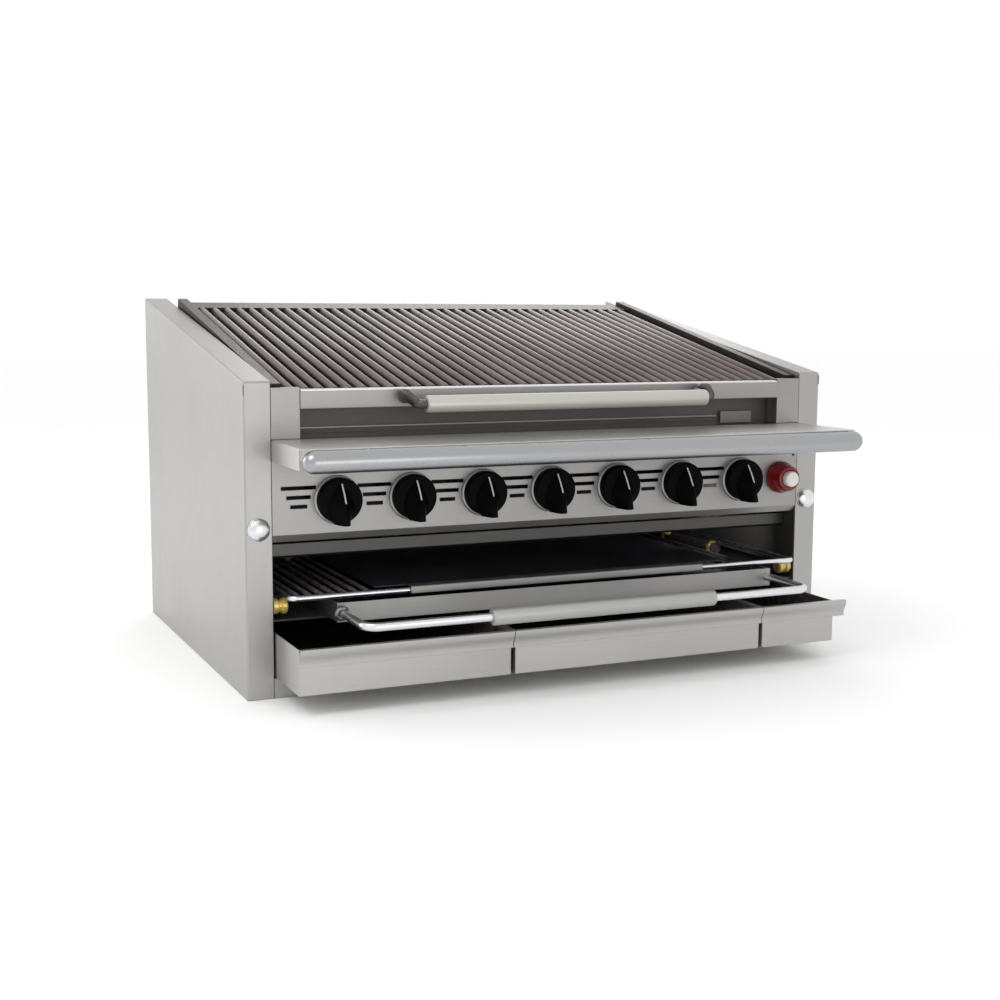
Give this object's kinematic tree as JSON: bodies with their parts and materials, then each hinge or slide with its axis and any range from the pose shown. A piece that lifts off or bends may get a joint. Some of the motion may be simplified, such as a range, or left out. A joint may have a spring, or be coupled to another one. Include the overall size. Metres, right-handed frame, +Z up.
{
  "type": "charbroiler grill",
  "caption": "Countertop gas charbroiler: sloping round-bar grid, landing shelf, knobs with vents, pull-out lower rack and tray, and grease drawers, in brushed stainless.",
  "frame": {"origin": "centre of the whole grill's footprint, on the surface it stands on", "axes": "+X to the right seen from the front, +Y towards the back, +Z up; the knobs face -Y"},
  "size_m": [0.914, 0.816, 0.5359],
  "materials": {
    "stainless": "brushed stainless sheet, satin, with fine grain and light handling marks",
    "polished": "bright polished stainless and chrome bar",
    "broiler_steel": "seasoned broiling steel, brown-grey, darker in the gaps",
    "grip_steel": "pale satin steel sleeve",
    "black_enamel": "black enamelled pan",
    "knob_black": "black phenolic with a white pointer line",
    "brass": "turned brass, lightly aged",
    "iron_pipe": "black iron pipe",
    "burner_steel": "heat-tinted stainless",
    "signal_red": "glossy red collar",
    "button_white": "off-white push button"
  },
  "bodies": {
    "casing": {"side_panel_left": "stainless", "side_panel_right": "stainless", "back_panel": "stainless", "base_frame": "stainless", "upper_front_frame": "stainless", "control_panel": "stainless", "heat_baffle": "stainless", "work_shelf": "stainless", "shelf_bullnose": "polished", "plug_button_left": "polished", "plug_button_right": "polished", "gas_manifold": "iron_pipe", "gas_feed_pipe": "iron_pipe", "gas_valve_1": "brass", "gas_valve_2": "brass", "gas_valve_3": "brass", "gas_valve_4": "brass", "gas_valve_5": "brass", "gas_valve_6": "brass", "gas_valve_7": "brass", "burner_1": "burner_steel", "burner_2": "burner_steel", "burner_3": "burner_steel", "burner_4": "burner_steel", "burner_5": "burner_steel", "burner_6": "burner_steel", "burner_7": "burner_steel", "radiant_1": "burner_steel", "radiant_2": "burner_steel", "radiant_3": "burner_steel", "radiant_4": "burner_steel", "radiant_5": "burner_steel", "radiant_6": "burner_steel", "radiant_7": "burner_steel", "igniter_collar": "signal_red", "grid_pivot_rod": "burner_steel", "rack_guide_left": "iron_pipe", "rack_guide_right": "iron_pipe"},
    "grid": {"top_grid": "broiler_steel", "grid_front_rail": "stainless", "grid_handle": "broiler_steel", "grid_grip": "grip_steel"},
    "knob_1": {"knob_1": "knob_black"},
    "knob_2": {"knob_2": "knob_black"},
    "knob_3": {"knob_3": "knob_black"},
    "knob_4": {"knob_4": "knob_black"},
    "knob_5": {"knob_5": "knob_black"},
    "knob_6": {"knob_6": "knob_black"},
    "knob_7": {"knob_7": "knob_black"},
    "igniter": {"igniter_button": "button_white"},
    "rack": {"broiler_rack": "polished", "broiler_plate": "black_enamel"},
    "tray": {"drip_tray": "stainless", "tray_handle": "polished", "tray_grip": "grip_steel"},
    "roller_left": {"guide_roller_left": "brass"},
    "roller_right": {"guide_roller_right": "brass"},
    "drawer_left": {"grease_drawer_left": "stainless"},
    "drawer_centre": {"grease_drawer_centre": "stainless"},
    "drawer_right": {"grease_drawer_right": "stainless"}
  },
  "joints": [
    {"name": "knob_1_turn", "type": "hinge", "parent": "casing", "child": "knob_1", "pos_m": [-0.3293, -0.267, 0.2668], "axis": [0, -1, 0], "range_deg": [0, 90]},
    {"name": "knob_2_turn", "type": "hinge", "parent": "casing", "child": "knob_2", "pos_m": [-0.2217, -0.267, 0.2668], "axis": [0, -1, 0], "range_deg": [0, 90]},
    {"name": "knob_3_turn", "type": "hinge", "parent": "casing", "child": "knob_3", "pos_m": [-0.1141, -0.267, 0.2668], "axis": [0, -1, 0], "range_deg": [0, 90]},
    {"name": "knob_4_turn", "type": "hinge", "parent": "casing", "child": "knob_4", "pos_m": [-0.0065, -0.267, 0.2668], "axis": [0, -1, 0], "range_deg": [0, 90]},
    {"name": "knob_5_turn", "type": "hinge", "parent": "casing", "child": "knob_5", "pos_m": [0.1011, -0.267, 0.2668], "axis": [0, -1, 0], "range_deg": [0, 90]},
    {"name": "knob_6_turn", "type": "hinge", "parent": "casing", "child": "knob_6", "pos_m": [0.2087, -0.267, 0.2668], "axis": [0, -1, 0], "range_deg": [0, 90]},
    {"name": "knob_7_turn", "type": "hinge", "parent": "casing", "child": "knob_7", "pos_m": [0.3163, -0.267, 0.2668], "axis": [0, -1, 0], "range_deg": [0, 90]},
    {"name": "igniter_push", "type": "slide", "parent": "casing", "child": "igniter", "axis": [0, 1, 0], "range_m": [0, 0.006], "stiffness_N_per_m": 500},
    {"name": "grid_tilt", "type": "hinge", "parent": "casing", "child": "grid", "pos_m": [0, 0.30126, 0.50598], "axis": [-1, 0, 0], "range_deg": [0, 15]},
    {"name": "rack_slide", "type": "slide", "parent": "casing", "child": "rack", "axis": [0, -1, 0], "range_m": [0, 0.3]},
    {"name": "tray_slide", "type": "slide", "parent": "casing", "child": "tray", "axis": [0, -1, 0], "range_m": [0, 0.35]},
    {"name": "roller_left_spin", "type": "hinge", "parent": "casing", "child": "roller_left", "pos_m": [-0.4085, -0.233, 0.1237], "axis": [1, 0, 0], "range_deg": [0, 1600]},
    {"name": "roller_right_spin", "type": "hinge", "parent": "casing", "child": "roller_right", "pos_m": [0.4085, -0.233, 0.1237], "axis": [1, 0, 0], "range_deg": [0, 1600]},
    {"name": "drawer_left_slide", "type": "slide", "parent": "casing", "child": "drawer_left", "axis": [0, -1, 0], "range_m": [0, 0.45]},
    {"name": "drawer_centre_slide", "type": "slide", "parent": "casing", "child": "drawer_centre", "axis": [0, -1, 0], "range_m": [0, 0.45]},
    {"name": "drawer_right_slide", "type": "slide", "parent": "casing", "child": "drawer_right", "axis": [0, -1, 0], "range_m": [0, 0.45]}
  ],
  "couplings": [
    {"joint": "roller_left_spin", "follows": "rack_slide", "rad_per_m": 90.909},
    {"joint": "roller_right_spin", "follows": "rack_slide", "rad_per_m": 90.909}
  ]
}
